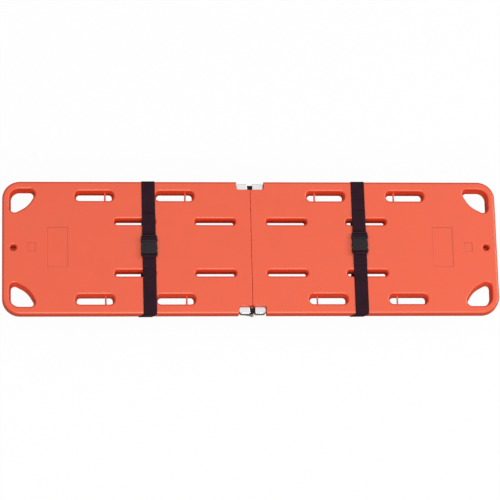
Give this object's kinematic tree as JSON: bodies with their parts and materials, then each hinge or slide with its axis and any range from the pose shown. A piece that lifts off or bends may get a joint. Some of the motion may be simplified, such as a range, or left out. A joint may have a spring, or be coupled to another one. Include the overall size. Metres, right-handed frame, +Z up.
{
  "type": "folding spine board",
  "caption": "Rigid two-part plastic spine board with hand slots and corner grips, folding in half on side hinges, with buckled webbing body straps.",
  "frame": {"origin": "centre of the footprint, on the surface the runners stand on", "axes": "+Z up, +X from the head end to the foot end, +Y to the left of someone who lies on the board"},
  "size_m": [1.84, 0.5158, 0.0758],
  "materials": {
    "orange_shell": "moulded polyethylene, orange-red, satin with a fine grain",
    "foam_core": null,
    "clip_pin_plastic": "moulded plastic rod, orange-red",
    "hinge_aluminium": "machined and tumbled, bright",
    "fastener_steel": "turned stainless steel",
    "insert_brass": "knurled brass",
    "bush_nylon": "natural nylon",
    "pad_rubber": "black rubber",
    "webbing": "black woven nylon webbing",
    "buckle_plastic": "black moulded acetal, fine texture"
  },
  "bodies": {
    "head_half": {"head_buckle_clip": "buckle_plastic", "head_buckle_housing": "buckle_plastic", "head_clip_pin_inner_left": "clip_pin_plastic", "head_clip_pin_inner_right": "clip_pin_plastic", "head_clip_pin_outer_left": "clip_pin_plastic", "head_clip_pin_outer_right": "clip_pin_plastic", "head_core": "foam_core", "head_hinge_bolts_left": "fastener_steel", "head_hinge_bolts_right": "fastener_steel", "head_hinge_inserts_left": "insert_brass", "head_hinge_inserts_right": "insert_brass", "head_hinge_leaf_left": "hinge_aluminium", "head_hinge_leaf_right": "hinge_aluminium", "head_shell": "orange_shell", "head_strap": "webbing", "hinge_circlip_left": "fastener_steel", "hinge_circlip_right": "fastener_steel", "hinge_pin_left": "fastener_steel", "hinge_pin_right": "fastener_steel", "hinge_stop_pad_left": "pad_rubber", "hinge_stop_pad_right": "pad_rubber"},
    "foot_half": {"foot_buckle_clip": "buckle_plastic", "foot_buckle_housing": "buckle_plastic", "foot_clip_pin_inner_left": "clip_pin_plastic", "foot_clip_pin_inner_right": "clip_pin_plastic", "foot_clip_pin_outer_left": "clip_pin_plastic", "foot_clip_pin_outer_right": "clip_pin_plastic", "foot_core": "foam_core", "foot_hinge_bolts_left": "fastener_steel", "foot_hinge_bolts_right": "fastener_steel", "foot_hinge_inserts_left": "insert_brass", "foot_hinge_inserts_right": "insert_brass", "foot_hinge_leaf_left": "hinge_aluminium", "foot_hinge_leaf_right": "hinge_aluminium", "foot_shell": "orange_shell", "foot_strap": "webbing", "hinge_bush_left": "bush_nylon", "hinge_bush_right": "bush_nylon"},
    "head_prong_headward": {"head_buckle_prong_headward": "buckle_plastic"},
    "head_prong_footward": {"head_buckle_prong_footward": "buckle_plastic"},
    "foot_prong_headward": {"foot_buckle_prong_headward": "buckle_plastic"},
    "foot_prong_footward": {"foot_buckle_prong_footward": "buckle_plastic"}
  },
  "joints": [
    {"name": "fold", "type": "hinge", "parent": "head_half", "child": "foot_half", "pos_m": [0, 0, 0.00675], "axis": [0, 1, 0], "range_deg": [0, 180]},
    {"name": "head_squeeze_headward", "type": "hinge", "parent": "head_half", "child": "head_prong_headward", "pos_m": [-0.39607, 0.01391, 0.0677], "axis": [0, 0, 1], "range_deg": [0, 10], "stiffness_Nm_per_rad": 1.5},
    {"name": "head_squeeze_footward", "type": "hinge", "parent": "head_half", "child": "head_prong_footward", "pos_m": [-0.36207, 0.01409, 0.0677], "axis": [0, 0, -1], "range_deg": [0, 10], "stiffness_Nm_per_rad": 1.5},
    {"name": "foot_squeeze_headward", "type": "hinge", "parent": "foot_half", "child": "foot_prong_headward", "pos_m": [0.38686, 0.02591, 0.0677], "axis": [0, 0, 1], "range_deg": [0, 10], "stiffness_Nm_per_rad": 1.5},
    {"name": "foot_squeeze_footward", "type": "hinge", "parent": "foot_half", "child": "foot_prong_footward", "pos_m": [0.42086, 0.02609, 0.0677], "axis": [0, 0, -1], "range_deg": [0, 10], "stiffness_Nm_per_rad": 1.5}
  ],
  "couplings": [
    {"joint": "head_squeeze_footward", "follows": "head_squeeze_headward", "ratio": 1},
    {"joint": "foot_squeeze_footward", "follows": "foot_squeeze_headward", "ratio": 1}
  ]
}
